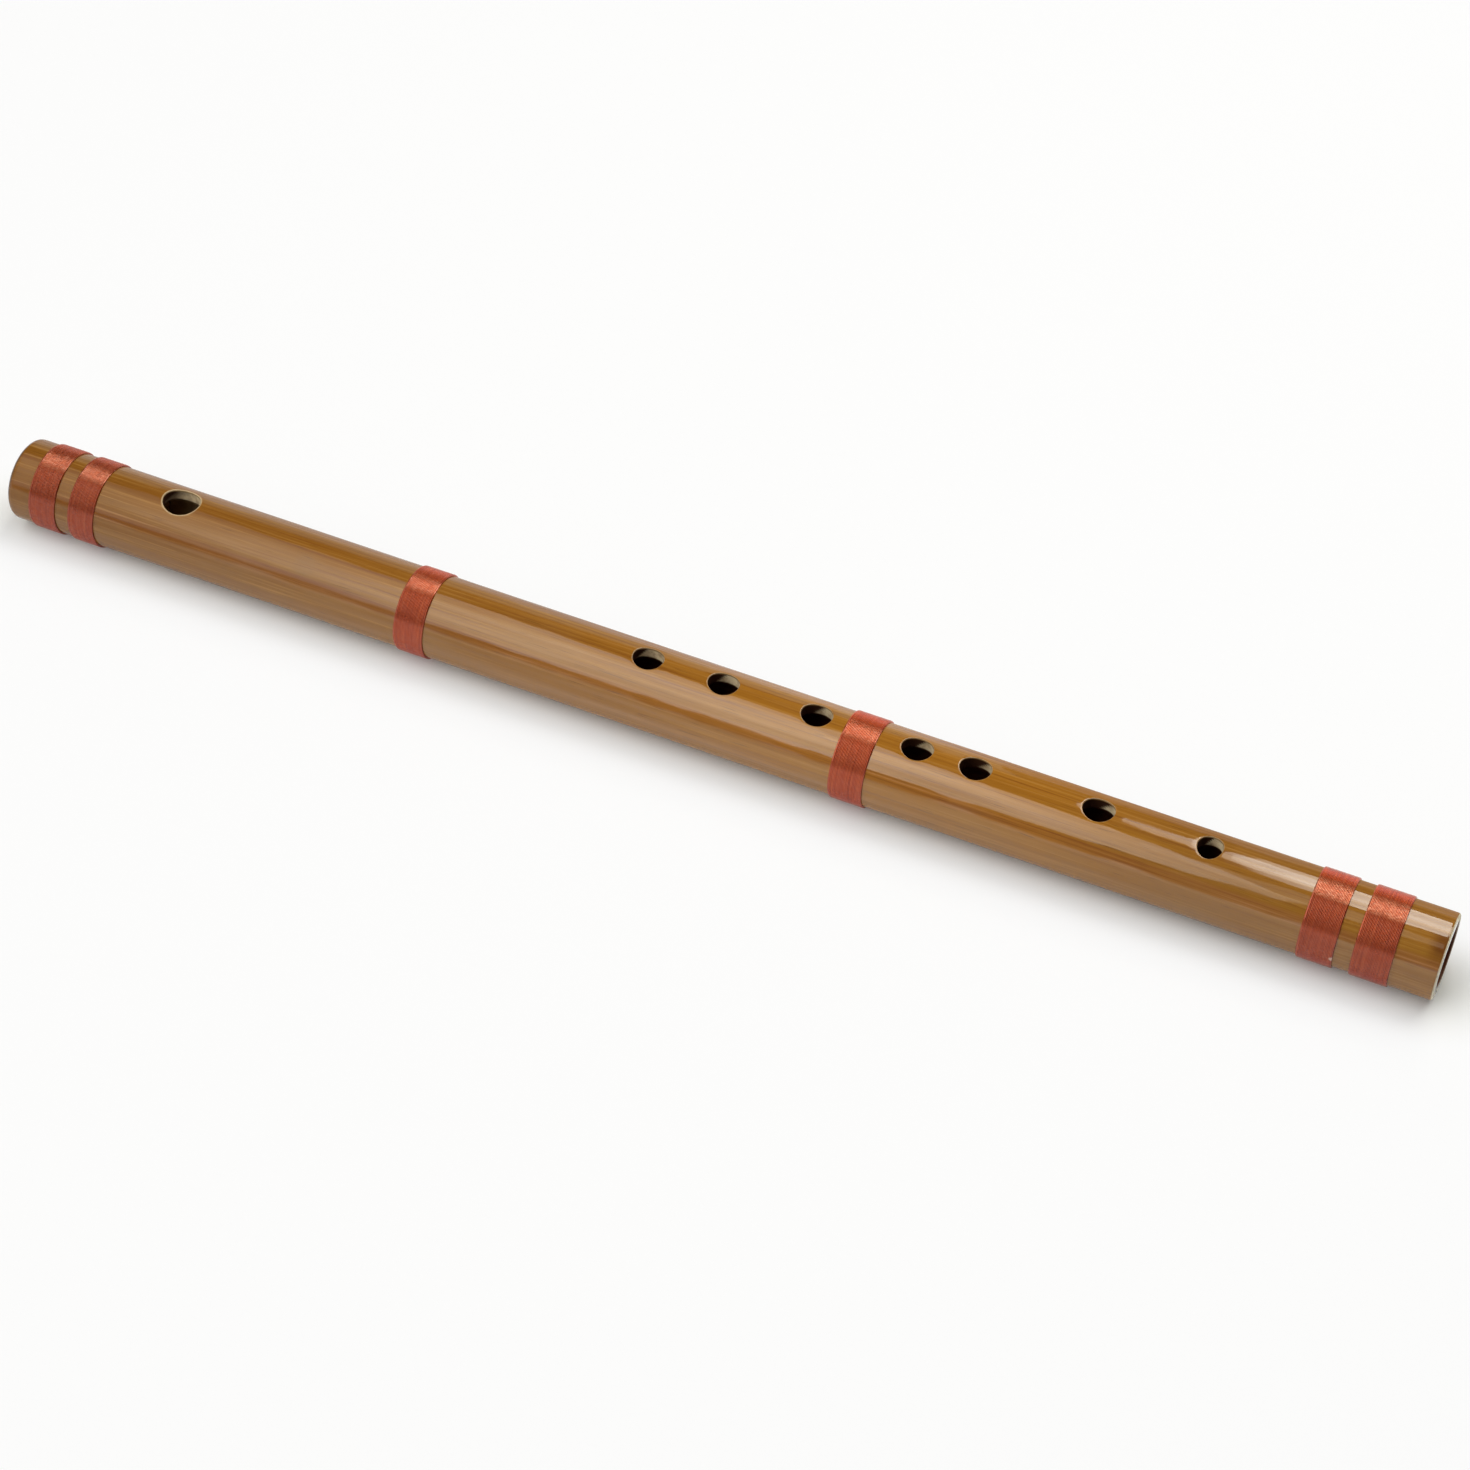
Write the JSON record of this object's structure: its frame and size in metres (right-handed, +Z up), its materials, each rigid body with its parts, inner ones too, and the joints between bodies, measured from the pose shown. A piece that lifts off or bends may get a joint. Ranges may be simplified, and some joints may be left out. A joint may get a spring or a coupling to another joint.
{
  "type": "transverse bamboo flute",
  "caption": "Side-blown bamboo flute with a blow hole, finger holes and thread bindings round the tube.",
  "frame": {"origin": "under the middle of the tube, on the surface that the bindings rest on", "axes": "+X along the tube from the head end to the foot end, +Z up, out through the blow hole and the finger holes"},
  "size_m": [0.4, 0.0234, 0.0233],
  "materials": {
    "bamboo": "amber brown bamboo under clear gloss lacquer",
    "plug_wood": "dark stained wood, satin",
    "cork": "cork, matt",
    "red_thread": "coppery red thread under clear lacquer"
  },
  "bodies": {
    "root": {"bamboo_tube": "bamboo", "head_plug": "plug_wood", "stopper": "cork", "head_outer_binding": "red_thread", "head_inner_binding": "red_thread", "upper_binding": "red_thread", "middle_binding": "red_thread", "foot_inner_binding": "red_thread", "foot_outer_binding": "red_thread"}
  },
  "joints": []
}
